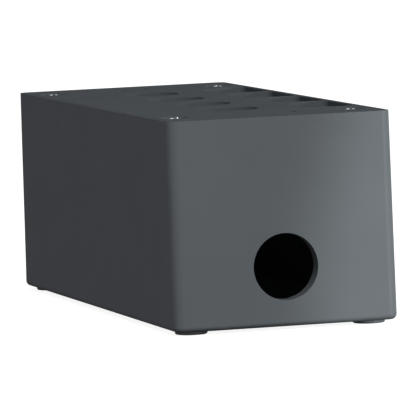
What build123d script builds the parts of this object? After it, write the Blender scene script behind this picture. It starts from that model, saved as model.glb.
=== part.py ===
from build123d import *
import os

os.makedirs("parts", exist_ok=True)

# Housing, outside. The underside is a little larger than the top.
top_width = 82.0
top_length = 210.0
side_flare = 0.2
end_flare = 1.2
body_height = 74.2
corner_radius = 3.7
bottom_radius = 1.9

# Mounting pads under the floor, set in from the underside's outline
pad_diameter = 11.5
pad_height = 1.3
pad_edge = 0.3
pad_inset_x = 8.4
pad_inset_y = 9.8
mounting_hole_diameter = 4.5

# Housing, inside. The walls thicken by the draft down to the floor.
rim_width = 1.5
side_wall = 4.3
end_wall = 4.6
floor_thickness = 3.5
cavity_radius = 3.0
cavity_draft = 0.3
floor_fillet = 1.0

# Cable entry through the near end wall, its centre above the underside of the body
entry_diameter = 23.7
entry_height = 21.2

# Cover, laid flush inside the rim
cover_thickness = 4.5
cover_gap = 0.15
cover_edge = 0.2
recess_radius = 1.8

# Flat gasket between the cover and the ledge inside the rim
gasket_thickness = 1.0
gasket_width = 2.4
gasket_gap = 0.15

# Button holes in a row, each with a keying notch towards +X
button_count = 4
button_pitch = 35.0
button_offset_x = -3.0
button_diameter = 22.3
notch_width = 3.2
notch_reach = 12.95

# Label pockets, round towards the buttons, with a thin lip at the cover's +X edge
pocket_radius = 16.4
pocket_straight = 3.8
pocket_lip = 0.7
pocket_corner = 3.2
pocket_depth = 2.0

# Small round marks in the cover, measured from its middle and from its ends
mark_diameter = 1.8
mark_depth = 0.3
far_mark_x = (-4.1, 4.8)
far_mark_inset = (20.0, 17.6)
near_mark_x = 11.3
near_mark_inset = 20.0

# Cover screws with domed slotted heads, set in from the top outline
screw_inset_x = 8.4
screw_inset_y = 21.2
screw_diameter = 3.95
screw_length = 16.0
screw_head_diameter = 7.0
screw_head_height = 2.4
screw_crown = 1.25
screw_recess = 0.05
slot_width = 1.1
slot_depth = 1.1
screw_point = 0.5
counterbore_diameter = 10.4
cover_screw_hole = 4.6
boss_depth = 3.0
boss_radius = 5.4
column_radius = 4.6
tapped_diameter = 4.05
tapped_depth = 15.0

# Seal ring under each screw head
seal_thickness = 0.7
seal_outer = 8.2
seal_inner = 4.1

# Nylon ring that keeps each screw in the cover
retainer_thickness = 1.0
retainer_outer = 7.4
retainer_inner = 4.05
retainer_pocket_diameter = 7.8
retainer_pocket_depth = 1.2

# Earth terminal on a boss of the floor
earth_inset_x = 20.0
earth_inset_y = 32.0
earth_boss_radius = 5.5
earth_boss_height = 7.0
earth_tapped_depth = 9.0
earth_screw_length = 10.0
earth_head_diameter = 6.6
earth_head_height = 2.4
earth_head_edge = 0.5
earth_washer_outer = 6.6
earth_washer_inner = 4.1
earth_washer_thickness = 0.9
clamp_width = 9.0
clamp_thickness = 1.0
clamp_lip = 1.6
clamp_hole = 4.5

# Heights
underside = pad_height
top = underside + body_height
floor_top = underside + floor_thickness
cover_underside = top - cover_thickness
ledge = cover_underside - gasket_thickness
column_top = cover_underside - boss_depth
head_top = top - screw_recess
head_bottom = head_top - screw_head_height
seal_bottom = head_bottom - seal_thickness
entry_z = underside + entry_height

# Plan sizes
base_width = top_width + 2 * side_flare
base_length = top_length + 2 * end_flare
recess_width = top_width - 2 * rim_width
recess_length = top_length - 2 * rim_width
cavity_width = top_width - 2 * side_wall
cavity_length = top_length - 2 * end_wall
cover_width = recess_width - 2 * cover_gap
cover_length = recess_length - 2 * cover_gap
pad_x = base_width / 2 - pad_inset_x
pad_y = base_length / 2 - pad_inset_y
screw_x = top_width / 2 - screw_inset_x
screw_y = top_length / 2 - screw_inset_y
button_ys = [button_pitch * (i - (button_count - 1) / 2) for i in range(button_count)]
pocket_wall_x = cover_width / 2 - pocket_lip
pocket_x = pocket_wall_x - pocket_straight
earth_x = -(cavity_width / 2 - earth_inset_x)
earth_y = -(cavity_length / 2 - earth_inset_y)
corners = [(-1, -1), (1, -1), (-1, 1), (1, 1)]
screw_points = [(side * screw_x, end * screw_y) for side, end in corners]


def write(part, name):
    part.label = name
    export_step(part, f"parts/{name}.step")


# Housing: one casting with pads, screw columns and the earth boss
with BuildPart() as housing:
    with BuildSketch(Plane.XY.offset(underside)):
        RectangleRounded(base_width, base_length, corner_radius)
    with BuildSketch(Plane.XY.offset(top)):
        RectangleRounded(top_width, top_length, corner_radius)
    loft(ruled=True)
    fillet(housing.faces().sort_by(Axis.Z)[0].edges(), bottom_radius)
    with BuildSketch(Plane.XY):
        with GridLocations(2 * pad_x, 2 * pad_y, 2, 2):
            Circle(pad_diameter / 2)
    extrude(amount=underside + bottom_radius)
    chamfer(housing.faces().group_by(Axis.Z)[0].edges(), pad_edge)
    with BuildSketch(Plane.XY.offset(floor_top)):
        RectangleRounded(cavity_width - 2 * cavity_draft, cavity_length - 2 * cavity_draft, cavity_radius)
    with BuildSketch(Plane.XY.offset(top)):
        RectangleRounded(cavity_width, cavity_length, cavity_radius)
    loft(ruled=True, mode=Mode.SUBTRACT)
    fillet(housing.faces().filter_by_position(Axis.Z, floor_top, floor_top).edges(), floor_fillet)
    with BuildSketch(Plane.XY.offset(floor_top - floor_fillet)):
        for side, end in corners:
            with Locations((side * screw_x, end * screw_y)):
                Circle(column_radius)
            with Locations((side * (screw_x + recess_width / 2) / 2, end * screw_y)):
                Rectangle(recess_width / 2 - screw_x, 2 * column_radius)
    extrude(amount=column_top - floor_top + floor_fillet)
    with BuildSketch(Plane.XY.offset(floor_top - floor_fillet)):
        with Locations((earth_x, earth_y)):
            Circle(earth_boss_radius)
    extrude(amount=earth_boss_height + floor_fillet)
    with BuildSketch(Plane.XY.offset(top)):
        RectangleRounded(recess_width, recess_length, recess_radius)
    extrude(amount=-(top - ledge), mode=Mode.SUBTRACT)
    with Locations([(x, y, column_top) for x, y in screw_points]):
        CounterBoreHole(tapped_diameter / 2, retainer_pocket_diameter / 2, retainer_pocket_depth, tapped_depth)
    with Locations((earth_x, earth_y, floor_top + earth_boss_height)):
        Hole(tapped_diameter / 2, earth_tapped_depth)
    with Locations([(side * pad_x, end * pad_y, floor_top) for side, end in corners]):
        Hole(mounting_hole_diameter / 2, floor_top)
    with BuildSketch(Plane.XZ.offset(top_length / 2 - end_wall - cavity_draft)):
        with Locations((0, entry_z)):
            Circle(entry_diameter / 2)
    extrude(amount=end_wall + end_flare + cavity_draft, mode=Mode.SUBTRACT)
write(housing.part, "housing")

# Cover: a plate with bosses under the screws, button holes and label pockets
with BuildPart() as cover:
    with BuildSketch(Plane.XY.offset(cover_underside)):
        RectangleRounded(cover_width, cover_length, recess_radius - cover_gap)
    extrude(amount=cover_thickness)
    chamfer(cover.faces().sort_by(Axis.Z)[-1].edges(), cover_edge)
    with BuildSketch(Plane.XY.offset(column_top)):
        with GridLocations(2 * screw_x, 2 * screw_y, 2, 2):
            Circle(boss_radius)
        RectangleRounded(cavity_width - 2 * cover_gap, cavity_length - 2 * cover_gap, cavity_radius,
                         mode=Mode.INTERSECT)
    extrude(amount=boss_depth)
    with BuildSketch(Plane.XY.offset(top)):
        for y in button_ys:
            with Locations((button_offset_x, y)):
                Circle(button_diameter / 2)
            with Locations((button_offset_x + notch_reach / 2, y)):
                Rectangle(notch_reach, notch_width)
    extrude(amount=-cover_thickness, mode=Mode.SUBTRACT)
    with BuildSketch(Plane.XY.offset(top)):
        for y in button_ys:
            with BuildLine():
                bow = CenterArc((pocket_x, y), pocket_radius, 90, 180)
                wall = ((pocket_wall_x, y - pocket_radius), (pocket_wall_x, y + pocket_radius))
                FilletPolyline(bow @ 1, *wall, bow @ 0, radius=pocket_corner)
            make_face()
    extrude(amount=-pocket_depth, mode=Mode.SUBTRACT)
    with Locations([(x, y, top) for x, y in screw_points]):
        CounterBoreHole(cover_screw_hole / 2, counterbore_diameter / 2, top - seal_bottom,
                        cover_thickness + boss_depth)
    with BuildSketch(Plane.XY.offset(top)):
        for x, inset in zip(far_mark_x, far_mark_inset):
            with Locations((x, top_length / 2 - inset)):
                Circle(mark_diameter / 2)
        with Locations((near_mark_x, near_mark_inset - top_length / 2)):
            Circle(mark_diameter / 2)
    extrude(amount=-mark_depth, mode=Mode.SUBTRACT)
write(cover.part, "cover")

# Gasket on the ledge
gasket_outer_width = recess_width - 2 * gasket_gap
gasket_outer_length = recess_length - 2 * gasket_gap
with BuildPart() as cover_gasket:
    with BuildSketch(Plane.XY.offset(ledge)):
        RectangleRounded(gasket_outer_width, gasket_outer_length, recess_radius - gasket_gap)
        RectangleRounded(gasket_outer_width - 2 * gasket_width, gasket_outer_length - 2 * gasket_width,
                         cavity_radius, mode=Mode.SUBTRACT)
    extrude(amount=gasket_thickness)
write(cover_gasket.part, "cover_gasket")

# Cover screws with their seals and retaining rings, one set at each corner
head_radius = screw_head_diameter / 2
for number, (side, end) in enumerate(corners, start=1):
    centre = (side * screw_x, end * screw_y)
    with BuildPart() as cover_screw:
        with BuildSketch(Plane(origin=(*centre, 0), x_dir=(1, 0, 0), z_dir=(0, -1, 0))):
            with BuildLine():
                crown = TangentArc((0, head_top), (head_radius, head_top - screw_crown), tangent=(1, 0))
                Polyline(crown @ 1, (head_radius, head_bottom), (0, head_bottom), crown @ 0)
            make_face()
        revolve(axis=Axis((*centre, 0), (0, 0, 1)))
        with BuildSketch(Plane.XY.offset(head_bottom)):
            with Locations(centre):
                Circle(screw_diameter / 2)
        extrude(amount=-screw_length)
        chamfer(cover_screw.faces().sort_by(Axis.Z)[0].edges(), screw_point)
        with BuildSketch(Plane.XY.offset(head_top)):
            with Locations(centre):
                Rectangle(slot_width, screw_head_diameter)
        extrude(amount=-slot_depth, mode=Mode.SUBTRACT)
    write(cover_screw.part, f"cover_screw_{number}")

    with BuildPart() as screw_seal:
        with BuildSketch(Plane.XY.offset(seal_bottom)):
            with Locations(centre):
                Circle(seal_outer / 2)
                Circle(seal_inner / 2, mode=Mode.SUBTRACT)
        extrude(amount=seal_thickness)
    write(screw_seal.part, f"screw_seal_{number}")

    with BuildPart() as screw_retainer:
        with BuildSketch(Plane.XY.offset(column_top)):
            with Locations(centre):
                Circle(retainer_outer / 2)
                Circle(retainer_inner / 2, mode=Mode.SUBTRACT)
        extrude(amount=-retainer_thickness)
    write(screw_retainer.part, f"screw_retainer_{number}")

# Earth terminal: clamp plate, spring washer and screw
boss_top = floor_top + earth_boss_height
clamp_top = boss_top + clamp_thickness
with BuildPart() as earth_clamp:
    with BuildSketch(Plane.XY.offset(boss_top)):
        with Locations((earth_x, earth_y)):
            Rectangle(clamp_width, clamp_width)
            Circle(clamp_hole / 2, mode=Mode.SUBTRACT)
    extrude(amount=clamp_thickness)
    with BuildSketch(Plane.XY.offset(clamp_top)):
        for side in (-1, 1):
            with Locations((earth_x + side * (clamp_width - clamp_thickness) / 2, earth_y)):
                Rectangle(clamp_thickness, clamp_width)
    extrude(amount=clamp_lip)
write(earth_clamp.part, "earth_clamp")

with BuildPart() as earth_washer:
    with BuildSketch(Plane.XY.offset(clamp_top)):
        with Locations((earth_x, earth_y)):
            Circle(earth_washer_outer / 2)
            Circle(earth_washer_inner / 2, mode=Mode.SUBTRACT)
    extrude(amount=earth_washer_thickness)
write(earth_washer.part, "earth_washer")

washer_top = clamp_top + earth_washer_thickness
with BuildPart() as earth_screw:
    with BuildSketch(Plane.XY.offset(washer_top)):
        with Locations((earth_x, earth_y)):
            Circle(earth_head_diameter / 2)
    extrude(amount=earth_head_height)
    chamfer(earth_screw.faces().sort_by(Axis.Z)[-1].edges(), earth_head_edge)
    with BuildSketch(Plane.XY.offset(washer_top)):
        with Locations((earth_x, earth_y)):
            Circle(screw_diameter / 2)
    extrude(amount=-earth_screw_length)
    chamfer(earth_screw.faces().sort_by(Axis.Z)[0].edges(), screw_point)
    with BuildSketch(Plane.XY.offset(washer_top + earth_head_height)):
        with Locations((earth_x, earth_y)):
            Rectangle(slot_width, earth_head_diameter)
    extrude(amount=-slot_depth, mode=Mode.SUBTRACT)
write(earth_screw.part, "earth_screw")
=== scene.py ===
import math

import bmesh
import bpy
from mathutils import Matrix, Vector


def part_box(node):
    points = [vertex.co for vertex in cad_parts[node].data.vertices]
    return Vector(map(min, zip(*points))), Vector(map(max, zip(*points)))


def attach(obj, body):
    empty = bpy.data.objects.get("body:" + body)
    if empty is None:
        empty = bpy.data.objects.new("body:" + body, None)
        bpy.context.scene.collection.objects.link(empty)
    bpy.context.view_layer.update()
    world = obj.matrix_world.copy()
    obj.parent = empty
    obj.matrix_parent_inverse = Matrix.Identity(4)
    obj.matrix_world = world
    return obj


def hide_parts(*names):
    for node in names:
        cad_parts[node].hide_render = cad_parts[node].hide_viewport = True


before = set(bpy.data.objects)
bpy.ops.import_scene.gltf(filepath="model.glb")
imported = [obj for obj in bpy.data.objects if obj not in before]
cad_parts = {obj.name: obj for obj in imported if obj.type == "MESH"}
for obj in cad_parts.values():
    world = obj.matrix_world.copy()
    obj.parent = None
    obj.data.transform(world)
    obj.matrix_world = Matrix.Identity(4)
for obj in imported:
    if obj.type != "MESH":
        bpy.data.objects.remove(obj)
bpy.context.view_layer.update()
print("frame loaded,", len(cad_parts), "nodes")

scene = bpy.context.scene
scene.view_settings.view_transform = "Standard"
mm = 0.001
white = (1.0, 1.0, 1.0, 1.0)


# shader groups

noisePattern = {
    "grainDetail": 2.0, "cloudDetail": 3.0, "cloudRoughness": 0.6,
    "cloudLow": 0.3, "cloudHigh": 0.7,  # the noise values at which a tone is fully dark or light
    "bumpStrength": 0.6,
}


def newSocket(tree, name, inOut, kind, value=None):
    socket = tree.interface.new_socket(name=name, in_out=inOut, socket_type=kind)
    if value is not None:
        socket.default_value = value


def makeSurfaceGrain():
    # fine relief and slow cloudy variation, both read from the piece's own object coordinates
    tree = bpy.data.node_groups.new("surfaceGrain", "ShaderNodeTree")
    newSocket(tree, "Grain Scale", "INPUT", "NodeSocketFloat", 2500.0)
    newSocket(tree, "Cloud Scale", "INPUT", "NodeSocketFloat", 60.0)
    newSocket(tree, "Relief", "OUTPUT", "NodeSocketFloat")
    newSocket(tree, "Cloud", "OUTPUT", "NodeSocketFloat")
    inside = tree.nodes.new("NodeGroupInput")
    outside = tree.nodes.new("NodeGroupOutput")
    where = tree.nodes.new("ShaderNodeTexCoord")
    grain = tree.nodes.new("ShaderNodeTexNoise")
    grain.inputs["Detail"].default_value = noisePattern["grainDetail"]
    cloud = tree.nodes.new("ShaderNodeTexNoise")
    cloud.inputs["Detail"].default_value = noisePattern["cloudDetail"]
    cloud.inputs["Roughness"].default_value = noisePattern["cloudRoughness"]
    for noise, scale, result in ((grain, "Grain Scale", "Relief"), (cloud, "Cloud Scale", "Cloud")):
        tree.links.new(where.outputs["Object"], noise.inputs["Vector"])
        tree.links.new(inside.outputs[scale], noise.inputs["Scale"])
        tree.links.new(noise.outputs["Fac"], outside.inputs[result])
    return tree


def makeToneRange():
    # turns a cloudy value into a colour between two tones and a roughness between two limits
    tree = bpy.data.node_groups.new("toneRange", "ShaderNodeTree")
    newSocket(tree, "Cloud", "INPUT", "NodeSocketFloat", 0.5)
    newSocket(tree, "Dark", "INPUT", "NodeSocketColor", (0.1, 0.1, 0.1, 1.0))
    newSocket(tree, "Light", "INPUT", "NodeSocketColor", (0.2, 0.2, 0.2, 1.0))
    newSocket(tree, "Smooth", "INPUT", "NodeSocketFloat", 0.4)
    newSocket(tree, "Rough", "INPUT", "NodeSocketFloat", 0.6)
    newSocket(tree, "Color", "OUTPUT", "NodeSocketColor")
    newSocket(tree, "Roughness", "OUTPUT", "NodeSocketFloat")
    inside = tree.nodes.new("NodeGroupInput")
    outside = tree.nodes.new("NodeGroupOutput")
    spread = tree.nodes.new("ShaderNodeMapRange")
    spread.inputs["From Min"].default_value = noisePattern["cloudLow"]
    spread.inputs["From Max"].default_value = noisePattern["cloudHigh"]
    tree.links.new(inside.outputs["Cloud"], spread.inputs["Value"])
    tone = tree.nodes.new("ShaderNodeMix")
    tone.data_type = "RGBA"
    rough = tree.nodes.new("ShaderNodeMix")
    for mix, low, high, result in ((tone, "Dark", "Light", "Color"), (rough, "Smooth", "Rough", "Roughness")):
        tree.links.new(spread.outputs["Result"], mix.inputs["Factor"])
        tree.links.new(inside.outputs[low], mix.inputs["A"])
        tree.links.new(inside.outputs[high], mix.inputs["B"])
        tree.links.new(mix.outputs["Result"], outside.inputs[result])
    return tree


surfaceGrain = makeSurfaceGrain()
toneRange = makeToneRange()


# finishes: relief in mm, the other values as the shader takes them

powderCoat = {
    "dark": (0.0945, 0.106, 0.1155), "light": (0.1005, 0.112, 0.1225), "smooth": 0.62, "rough": 0.7,
    "metallic": 0.0, "specular": 0.0, "grainScale": 2200.0, "cloudScale": 45.0, "relief": 0.02,
    "gloss": 0.3, "glossRoughness": 0.5, "glossEnd": 0.3,
}
# painted shade: a near-black finish for the inside of the cover's small round marks, standing in for the
# shade in them
paintedMarkShade = {
    "dark": (0.003, 0.003, 0.0035), "light": (0.005, 0.005, 0.006), "smooth": 0.8, "rough": 0.9,
    "metallic": 0.0, "specular": 0.0, "grainScale": 2200.0, "cloudScale": 45.0, "relief": 0.02,
}
zincSteel = {
    "dark": (0.66, 0.66, 0.64), "light": (0.78, 0.78, 0.77), "smooth": 0.22, "rough": 0.34,
    "metallic": 1.0, "specular": 0.5, "grainScale": 4000.0, "cloudScale": 350.0, "relief": 0.01,
}
blackRubber = {
    "dark": (0.018, 0.018, 0.019), "light": (0.03, 0.03, 0.031), "smooth": 0.7, "rough": 0.85,
    "metallic": 0.0, "specular": 0.3, "grainScale": 3000.0, "cloudScale": 120.0, "relief": 0.03,
}
naturalNylon = {
    "dark": (0.72, 0.7, 0.63), "light": (0.8, 0.78, 0.72), "smooth": 0.4, "rough": 0.5,
    "metallic": 0.0, "specular": 0.45, "grainScale": 2500.0, "cloudScale": 200.0, "relief": 0.015,
}
plainBrass = {
    "dark": (0.62, 0.43, 0.16), "light": (0.76, 0.56, 0.25), "smooth": 0.28, "rough": 0.42,
    "metallic": 1.0, "specular": 0.5, "grainScale": 3500.0, "cloudScale": 260.0, "relief": 0.015,
}


def placeGroup(tree, group, values):
    node = tree.nodes.new("ShaderNodeGroup")
    node.node_tree = group
    for name, value in values.items():
        node.inputs[name].default_value = value
    return node


def addGloss(tree, shader, look):
    # a satin clear layer that fades where the surface turns away
    facing = tree.nodes.new("ShaderNodeLayerWeight")
    fade = tree.nodes.new("ShaderNodeMapRange")
    fade.inputs["From Max"].default_value = look["glossEnd"]
    fade.inputs["To Min"].default_value = look["gloss"]
    fade.inputs["To Max"].default_value = 0.0
    tree.links.new(facing.outputs["Facing"], fade.inputs["Value"])
    tree.links.new(fade.outputs["Result"], shader.inputs["Coat Weight"])
    shader.inputs["Coat Roughness"].default_value = look["glossRoughness"]


def makeFinish(name, look):
    material = bpy.data.materials.new(name)
    material.use_nodes = True
    tree = material.node_tree
    shader = tree.nodes["Principled BSDF"]
    shader.inputs["Metallic"].default_value = look["metallic"]
    shader.inputs["Specular IOR Level"].default_value = look["specular"]
    grain = placeGroup(tree, surfaceGrain, {
        "Grain Scale": look["grainScale"], "Cloud Scale": look["cloudScale"],
    })
    tone = placeGroup(tree, toneRange, {
        "Dark": (*look["dark"], 1.0), "Light": (*look["light"], 1.0),
        "Smooth": look["smooth"], "Rough": look["rough"],
    })
    bump = tree.nodes.new("ShaderNodeBump")
    bump.inputs["Strength"].default_value = noisePattern["bumpStrength"]
    bump.inputs["Distance"].default_value = look["relief"] * mm
    tree.links.new(grain.outputs["Cloud"], tone.inputs["Cloud"])
    tree.links.new(grain.outputs["Relief"], bump.inputs["Height"])
    tree.links.new(tone.outputs["Color"], shader.inputs["Base Color"])
    tree.links.new(tone.outputs["Roughness"], shader.inputs["Roughness"])
    tree.links.new(bump.outputs["Normal"], shader.inputs["Normal"])
    if "gloss" in look:
        addGloss(tree, shader, look)
    return material


coatPaint = makeFinish("coatPaint", powderCoat)
# the painted shade for the inside of the cover's small round marks
paintedShadeInMarks = makeFinish("paintedShadeInMarks", paintedMarkShade)
steelZinc = makeFinish("steelZinc", zincSteel)
rubberBlack = makeFinish("rubberBlack", blackRubber)
nylonNatural = makeFinish("nylonNatural", naturalNylon)
brassPlain = makeFinish("brassPlain", plainBrass)
print("finishes made")


# pieces that keep the form of their CAD node, with rounded edges

cleanUp = {"mergeDistance": 0.0005, "flatAngle": 0.3}  # mm and degrees
edgeRounding = {"segments": 2, "angle": 32.0, "flatWeight": 100}  # the angle in degrees


def copyOfNode(nodeName, pieceName, shift=(0.0, 0.0, 0.0)):
    # a merged copy of a CAD node's mesh, with its flat faces whole again
    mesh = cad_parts[nodeName].data.copy()
    mesh.materials.clear()
    work = bmesh.new()
    work.from_mesh(mesh)
    bmesh.ops.remove_doubles(work, verts=work.verts, dist=cleanUp["mergeDistance"] * mm)
    flatAngle = math.radians(cleanUp["flatAngle"])
    bmesh.ops.dissolve_limit(work, angle_limit=flatAngle, verts=work.verts, edges=work.edges)
    bmesh.ops.translate(work, verts=work.verts, vec=shift)
    work.to_mesh(mesh)
    work.free()
    piece = bpy.data.objects.new(pieceName, mesh)
    scene.collection.objects.link(piece)
    return piece


def plainMesh(piece, finish=None):
    # bakes the modifiers into a plain mesh, and gives it one finish if that is named
    depsgraph = bpy.context.evaluated_depsgraph_get()
    mesh = bpy.data.meshes.new_from_object(piece.evaluated_get(depsgraph))
    piece.modifiers.clear()
    piece.data = mesh
    if finish is not None:
        mesh.materials.clear()
        mesh.materials.append(finish)
    return piece


def roundEdges(piece, width):
    bevel = piece.modifiers.new("roundEdges", "BEVEL")
    bevel.width = width * mm
    bevel.segments = edgeRounding["segments"]
    bevel.limit_method = "ANGLE"
    bevel.angle_limit = math.radians(edgeRounding["angle"])
    bevel.use_clamp_overlap = True
    for polygon in piece.data.polygons:
        polygon.use_smooth = True
    weigh = piece.modifiers.new("flatFaces", "WEIGHTED_NORMAL")  # large flat faces stay flat
    weigh.weight = edgeRounding["flatWeight"]
    weigh.keep_sharp = True


def roundedCopy(pieceName, form, shift=(0.0, 0.0, 0.0)):
    piece = copyOfNode(form["node"], pieceName, shift)
    roundEdges(piece, form["edge"])
    return plainMesh(piece, form["finish"])


castHousing = {"node": "housing", "edge": 0.2, "finish": coatPaint}
housingBody = roundedCopy("housingBody", castHousing)

flatCover = {"node": "cover", "edge": 0.05, "finish": coatPaint}
coverPlate = roundedCopy("coverPlate", flatCover)

roundMarks = {  # in mm: the marks' places in the cover, and how far from them and how deep a face may lie
    "places": ((-4.1, 85.0), (4.8, 87.4), (11.3, -85.0)), "reach": 1.0,
    "shallowest": 0.004, "deepest": 0.4,
}


def paintShadeInMarks(plate, finish):
    # painted shade: the small round marks in the cover get a near-black finish inside, down to their shallow
    # floors, in place of the shade that falls in them
    plate.data.materials.append(finish)
    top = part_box("cover")[1][2]
    for polygon in plate.data.polygons:
        depth = (top - polygon.center.z) / mm
        if roundMarks["shallowest"] < depth < roundMarks["deepest"]:
            for place in roundMarks["places"]:
                if (polygon.center.xy / mm - Vector(place)).length < roundMarks["reach"]:
                    polygon.material_index = 1


paintShadeInMarks(coverPlate, paintedShadeInMarks)

softGasket = {"node": "cover_gasket", "edge": 0.25, "finish": rubberBlack}
gasketRing = roundedCopy("gasketRing", softGasket)

brassClamp = {"node": "earth_clamp", "edge": 0.15, "finish": brassPlain}
earthClamp = roundedCopy("earthClamp", brassClamp)
print("castings, gasket and clamp made")


# geometry trees

placeInputs = (
    ("Spacing X", "NodeSocketFloat", 0.06), ("Spacing Y", "NodeSocketFloat", 0.16),
    ("Finish", "NodeSocketMaterial", None),
)


def treeOf(name, inputs):
    tree = bpy.data.node_groups.new(name, "GeometryNodeTree")
    newSocket(tree, "Geometry", "INPUT", "NodeSocketGeometry")
    for label, kind, value in inputs:
        newSocket(tree, label, "INPUT", kind, value)
    newSocket(tree, "Geometry", "OUTPUT", "NodeSocketGeometry")
    return tree, tree.nodes.new("NodeGroupInput"), tree.nodes.new("NodeGroupOutput")


def timesFactor(tree, source, factor):
    product = tree.nodes.new("ShaderNodeMath")
    product.operation = "MULTIPLY"
    tree.links.new(source, product.inputs[0])
    product.inputs[1].default_value = factor
    return product.outputs["Value"]


def raisedBy(tree, height, geometry):
    # a geometry moved up by a height that one of the tree's inputs gives
    rise = tree.nodes.new("ShaderNodeCombineXYZ")
    tree.links.new(height, rise.inputs["Z"])
    move = tree.nodes.new("GeometryNodeTransform")
    tree.links.new(geometry, move.inputs["Geometry"])
    tree.links.new(rise.outputs["Vector"], move.inputs["Translation"])
    return move.outputs["Geometry"]


def fourPlaces(tree, inside, geometry):
    # instances of a geometry at the four corners of a rectangle, made real
    grid = tree.nodes.new("GeometryNodeMeshGrid")
    grid.inputs["Vertices X"].default_value = 2
    grid.inputs["Vertices Y"].default_value = 2
    tree.links.new(inside.outputs["Spacing X"], grid.inputs["Size X"])
    tree.links.new(inside.outputs["Spacing Y"], grid.inputs["Size Y"])
    place = tree.nodes.new("GeometryNodeInstanceOnPoints")
    tree.links.new(grid.outputs["Mesh"], place.inputs["Points"])
    tree.links.new(geometry, place.inputs["Instance"])
    real = tree.nodes.new("GeometryNodeRealizeInstances")
    tree.links.new(place.outputs["Instances"], real.inputs["Geometry"])
    return real.outputs["Geometry"]


def finishTree(tree, inside, outside, geometry):
    paint = tree.nodes.new("GeometryNodeSetMaterial")
    tree.links.new(geometry, paint.inputs["Geometry"])
    tree.links.new(inside.outputs["Finish"], paint.inputs["Material"])
    tree.links.new(paint.outputs["Geometry"], outside.inputs["Geometry"])
    return tree


threadCut = {  # in mm, with the ridge's steps in each turn and its section's sides
    "pitch": 0.7, "depth": 0.07, "shankRadius": 1.94, "clearFoot": 0.6, "length": 11.0,
    "turnSteps": 20, "ridgeSides": 3,
}


def addThread(tree, inside):
    # a helical ridge up the shank from its foot
    turns = tree.nodes.new("ShaderNodeMath")
    turns.operation = "DIVIDE"
    tree.links.new(inside.outputs["Thread Length"], turns.inputs[0])
    tree.links.new(inside.outputs["Pitch"], turns.inputs[1])
    helix = tree.nodes.new("GeometryNodeCurveSpiral")
    helix.inputs["Resolution"].default_value = threadCut["turnSteps"]
    tree.links.new(turns.outputs["Value"], helix.inputs["Rotations"])
    tree.links.new(inside.outputs["Shank Radius"], helix.inputs["Start Radius"])
    tree.links.new(inside.outputs["Shank Radius"], helix.inputs["End Radius"])
    tree.links.new(inside.outputs["Thread Length"], helix.inputs["Height"])
    ridge = tree.nodes.new("GeometryNodeCurvePrimitiveCircle")
    ridge.inputs["Resolution"].default_value = threadCut["ridgeSides"]
    tree.links.new(inside.outputs["Thread Depth"], ridge.inputs["Radius"])
    sweep = tree.nodes.new("GeometryNodeCurveToMesh")
    sweep.inputs["Fill Caps"].default_value = True
    path = raisedBy(tree, inside.outputs["Thread Foot"], helix.outputs["Curve"])
    tree.links.new(path, sweep.inputs["Curve"])
    tree.links.new(ridge.outputs["Curve"], sweep.inputs["Profile Curve"])
    join = tree.nodes.new("GeometryNodeJoinGeometry")
    tree.links.new(inside.outputs["Geometry"], join.inputs["Geometry"])
    tree.links.new(sweep.outputs["Mesh"], join.inputs["Geometry"])
    return join.outputs["Geometry"]


def makeScrewTree():
    # one screw with its thread, at each of four places
    tree, inside, outside = treeOf("slottedScrews", placeInputs + (
        ("Shank Radius", "NodeSocketFloat", 0.0019), ("Pitch", "NodeSocketFloat", 0.0007),
        ("Thread Depth", "NodeSocketFloat", 0.0002), ("Thread Length", "NodeSocketFloat", 0.01),
        ("Thread Foot", "NodeSocketFloat", 0.0),
    ))
    return finishTree(tree, inside, outside, fourPlaces(tree, inside, addThread(tree, inside)))


# the steps round a ring and round each corner of its section, whose radius is a share of its half height
ringSweep = {"steps": 64, "cornerSteps": 4, "cornerShare": 0.6}


def makeRingTree():
    # a ring swept with a rounded section, at each of four places
    tree, inside, outside = treeOf("fourRings", placeInputs + (
        ("Ring Radius", "NodeSocketFloat", 0.003), ("Half Width", "NodeSocketFloat", 0.001),
        ("Half Height", "NodeSocketFloat", 0.0005), ("Height", "NodeSocketFloat", 0.0),
    ))
    path = tree.nodes.new("GeometryNodeCurvePrimitiveCircle")
    path.inputs["Resolution"].default_value = ringSweep["steps"]
    tree.links.new(inside.outputs["Ring Radius"], path.inputs["Radius"])
    section = tree.nodes.new("GeometryNodeCurvePrimitiveQuadrilateral")
    for size, half in (("Width", "Half Width"), ("Height", "Half Height")):
        tree.links.new(timesFactor(tree, inside.outputs[half], 2.0), section.inputs[size])
    corner = tree.nodes.new("GeometryNodeFilletCurve")
    corner.mode = "POLY"
    corner.inputs["Count"].default_value = ringSweep["cornerSteps"]
    tree.links.new(section.outputs["Curve"], corner.inputs["Curve"])
    cornerRadius = timesFactor(tree, inside.outputs["Half Height"], ringSweep["cornerShare"])
    tree.links.new(cornerRadius, corner.inputs["Radius"])
    sweep = tree.nodes.new("GeometryNodeCurveToMesh")
    tree.links.new(path.outputs["Curve"], sweep.inputs["Curve"])
    tree.links.new(corner.outputs["Curve"], sweep.inputs["Profile Curve"])
    ring = raisedBy(tree, inside.outputs["Height"], sweep.outputs["Mesh"])
    return finishTree(tree, inside, outside, fourPlaces(tree, inside, ring))


screwTree = makeScrewTree()
ringTree = makeRingTree()


def grow(piece, tree, values):
    # runs a geometry tree on a piece with these inputs and keeps the plain mesh
    modifier = piece.modifiers.new(tree.name, "NODES")
    modifier.node_group = tree
    for item in tree.interface.items_tree:
        if item.item_type == "SOCKET" and item.in_out == "INPUT" and item.name in values:
            modifier[item.identifier] = values[item.name]
    return plainMesh(piece)


def middleOf(node):
    low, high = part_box(node)
    return (Vector(low) + Vector(high)) / 2


# screws, with the rings under them

firstScrew, lastScrew = middleOf("cover_screw_1"), middleOf("cover_screw_4")
spacing = {"Spacing X": lastScrew.x - firstScrew.x, "Spacing Y": lastScrew.y - firstScrew.y}
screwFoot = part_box("cover_screw_1")[0][2]

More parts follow.
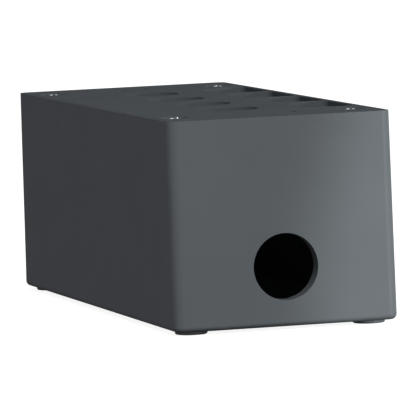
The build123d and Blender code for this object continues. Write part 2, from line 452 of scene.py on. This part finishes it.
slottedScrew = {"node": "cover_screw_1", "edge": 0.12, "finish": steelZinc}
coverScrews = roundedCopy("coverScrews", slottedScrew, shift=(-firstScrew.x, -firstScrew.y, 0.0))
grow(coverScrews, screwTree, {
    **spacing, "Finish": slottedScrew["finish"], "Shank Radius": threadCut["shankRadius"] * mm,
    "Pitch": threadCut["pitch"] * mm, "Thread Depth": threadCut["depth"] * mm,
    "Thread Length": threadCut["length"] * mm, "Thread Foot": screwFoot + threadCut["clearFoot"] * mm,
})


def fourRings(pieceName, form):
    # rings of the same box as the CAD node's, one at each cover screw
    low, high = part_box(form["node"])
    outer = (high[0] - low[0]) / 2
    bore = form["boreRadius"] * mm
    piece = bpy.data.objects.new(pieceName, bpy.data.meshes.new(pieceName))
    scene.collection.objects.link(piece)
    return grow(piece, ringTree, {
        **spacing, "Finish": form["finish"], "Ring Radius": (outer + bore) / 2,
        "Half Width": (outer - bore) / 2, "Half Height": (high[2] - low[2]) / 2,
        "Height": (high[2] + low[2]) / 2,
    })


sealRing = {"node": "screw_seal_1", "boreRadius": 2.05, "finish": rubberBlack}
screwSeals = fourRings("screwSeals", sealRing)

retainerRing = {"node": "screw_retainer_1", "boreRadius": 2.03, "finish": nylonNatural}
screwRetainers = fourRings("screwRetainers", retainerRing)

terminalScrew = {"node": "earth_screw", "edge": 0.12, "finish": steelZinc}
earthScrew = roundedCopy("earthScrew", terminalScrew)

springWasher = {"node": "earth_washer", "edge": 0.1, "finish": steelZinc}
earthWasher = roundedCopy("earthWasher", springWasher)
print("screws, seals and rings made")


# each piece rides on the root, with the CAD nodes it stands for, which are hidden, and the name of a finish
# slot

screwNumbers = (1, 2, 3, 4)


def numbered(node):
    return [f"{node}_{number}" for number in screwNumbers]


for piece, nodes, slotName in (
    (housingBody, ["housing"], "casting"),
    (coverPlate, ["cover"], "cover_casting"),
    (gasketRing, ["cover_gasket"], "gasket"),
    (coverScrews, numbered("cover_screw"), "screw_steel"),
    (screwSeals, numbered("screw_seal"), "seal"),
    (screwRetainers, numbered("screw_retainer"), "nylon"),
    (earthScrew, ["earth_screw"], "screw_steel"),
    (earthWasher, ["earth_washer"], "screw_steel"),
    (earthClamp, ["earth_clamp"], "earth_brass"),
):
    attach(piece, "root")
    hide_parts(*nodes)


# world and floor

skyLight = {"seen": 1.0, "cast": 0.2}  # strengths for the camera and for the object
paleFloor = {"size": 12.0, "tone": 0.5, "glow": 0.9, "bounce": 0.1}  # the size in metres


def cameraRayMix(tree, seen, unseen):
    # one shader for what the camera and reflections see, another for the light that falls on the object
    path = tree.nodes.new("ShaderNodeLightPath")
    both = tree.nodes.new("ShaderNodeMath")
    both.operation = "MAXIMUM"
    either = tree.nodes.new("ShaderNodeMath")
    either.operation = "MAXIMUM"
    tree.links.new(path.outputs["Is Camera Ray"], both.inputs[0])
    tree.links.new(path.outputs["Is Glossy Ray"], both.inputs[1])
    tree.links.new(both.outputs["Value"], either.inputs[0])
    tree.links.new(path.outputs["Is Transmission Ray"], either.inputs[1])
    mix = tree.nodes.new("ShaderNodeMixShader")
    tree.links.new(either.outputs["Value"], mix.inputs["Fac"])
    tree.links.new(unseen, mix.inputs[1])
    tree.links.new(seen, mix.inputs[2])
    return mix.outputs["Shader"]


def whiteSky(tree, strength):
    sky = tree.nodes.new("ShaderNodeBackground")
    sky.inputs["Strength"].default_value = strength
    sky.inputs["Color"].default_value = white
    return sky.outputs["Background"]


def makeWorld():
    world = bpy.data.worlds.new("studio")
    world.use_nodes = True
    scene.world = world
    tree = world.node_tree
    tree.nodes.clear()
    seen = whiteSky(tree, skyLight["seen"])
    cast = whiteSky(tree, skyLight["cast"])
    out = tree.nodes.new("ShaderNodeOutputWorld")
    tree.links.new(cameraRayMix(tree, seen, cast), out.inputs["Surface"])


def greyDiffuse(tree, tone):
    grey = tree.nodes.new("ShaderNodeBsdfDiffuse")
    grey.inputs["Color"].default_value = (tone, tone, tone, 1.0)
    return grey.outputs["BSDF"]


def makeFloor():
    half = paleFloor["size"] / 2
    corners = [(-half, -half, 0), (half, -half, 0), (half, half, 0), (-half, half, 0)]
    mesh = bpy.data.meshes.new("floor")
    mesh.from_pydata(corners, [], [(0, 1, 2, 3)])
    floor = bpy.data.objects.new("floor", mesh)
    scene.collection.objects.link(floor)
    material = bpy.data.materials.new("paleFloor")
    material.use_nodes = True
    tree = material.node_tree
    tree.nodes.clear()
    glow = tree.nodes.new("ShaderNodeEmission")
    glow.inputs["Strength"].default_value = paleFloor["glow"]
    seen = tree.nodes.new("ShaderNodeAddShader")
    tree.links.new(greyDiffuse(tree, paleFloor["tone"]), seen.inputs[0])
    tree.links.new(glow.outputs["Emission"], seen.inputs[1])
    low = greyDiffuse(tree, paleFloor["bounce"])
    out = tree.nodes.new("ShaderNodeOutputMaterial")
    tree.links.new(cameraRayMix(tree, seen.outputs["Shader"], low), out.inputs["Surface"])
    mesh.materials.append(material)


# lamps: places, aims and sizes in metres, energy in watts, each with the faces that it is there for

plainLamp = {"aim": (0.0, 0.0, 0.04), "size": 0.12, "color": (1.0, 1.0, 1.0)}
lamps = {
    "frontLow": {"place": (1.2, -2.08, 0.065), "energy": 11.9},  # the near end
    "frontHigh": {"place": (0.0, -3.0, 2.85), "aim": (0.0, 0.0, 0.07), "size": 1.65,
                  "energy": 95.0},  # the top, and the near end
    "leftFront": {"place": (-1.7, -1.7, 0.065), "energy": 4.6},  # the round corner left of the near end
    "leftLow": {"place": (-3.46, 2.0, 0.065), "energy": 35.5, "color": (1.0, 0.84, 0.86)},  # the left side
    "leftHigh": {"place": (-2.38, 0.0, 0.4), "aim": (0.0, 0.0, 0.07), "energy": 2.0},  # dark pocket walls
    "rightLow": {"place": (2.953, -0.258, 0.45), "energy": 30.0},  # the right side, and the holes' left walls
    "backLow": {"place": (0.9, 2.8, 0.1), "size": 0.3, "energy": 36.0},  # the far end
}
rightSpot = {  # the lighter area at the near end's right
    "place": (1.289, -1.394, 0.071), "aim": (0.3965, -0.105, -0.003), "radius": 0.005, "energy": 112.0,
    "color": (0.98, 1.0, 0.96), "poolRadius": 0.2913, "softEdge": 0.14,
}


def placeLight(light, lamp):
    # hangs a light up, points it at its aim and gives the distance to that
    light.energy = lamp["energy"]
    light.color = lamp["color"]
    holder = bpy.data.objects.new(light.name, light)
    holder.location = lamp["place"]
    towards = Vector(lamp["aim"]) - Vector(lamp["place"])
    holder.rotation_euler = towards.to_track_quat("-Z", "Y").to_euler()
    scene.collection.objects.link(holder)
    return towards.length


def makeLamp(name, lamp):
    light = bpy.data.lights.new(name, "AREA")
    light.shape = "DISK"
    light.size = lamp["size"]
    placeLight(light, lamp)


def makeSpot(name, lamp):
    # a round pool of light with a soft edge, wide enough to brighten one side of the near end
    light = bpy.data.lights.new(name, "SPOT")
    light.shadow_soft_size = lamp["radius"]
    light.spot_blend = lamp["softEdge"]
    reach = placeLight(light, lamp)
    light.spot_size = 2 * math.atan(lamp["poolRadius"] / reach)


makeWorld()
makeFloor()
for name, lamp in lamps.items():
    makeLamp(name, {**plainLamp, **lamp})
makeSpot("rightSpot", rightSpot)
print("floor, world and lamps made")


# camera: it stands in front and to the left of the near end and looks slightly down, through a very long lens

view = {  # place, lens and sensor in mm, angles in degrees, the range of sight in metres
    "place": (-589.13, -2051.16, 209.69), "turn": -16.1013, "tilt": 4.6622, "roll": -2.0504,
    "lens": 501.1, "sensor": 36.0, "nearest": 0.1, "farthest": 50.0,
}


def makeCamera():
    data = bpy.data.cameras.new("camera")
    data.lens = view["lens"]
    data.sensor_width = view["sensor"]
    data.clip_start = view["nearest"]
    data.clip_end = view["farthest"]
    camera = bpy.data.objects.new("camera", data)
    turn = Matrix.Rotation(math.radians(view["turn"]), 4, "Z")
    tilt = Matrix.Rotation(math.radians(90.0 - view["tilt"]), 4, "X")  # unturned, a camera looks down
    roll = Matrix.Rotation(math.radians(view["roll"]), 4, "Z")
    place = Matrix.Translation([value * mm for value in view["place"]])
    camera.matrix_world = place @ turn @ tilt @ roll
    scene.collection.objects.link(camera)
    scene.camera = camera


makeCamera()
print("camera made")
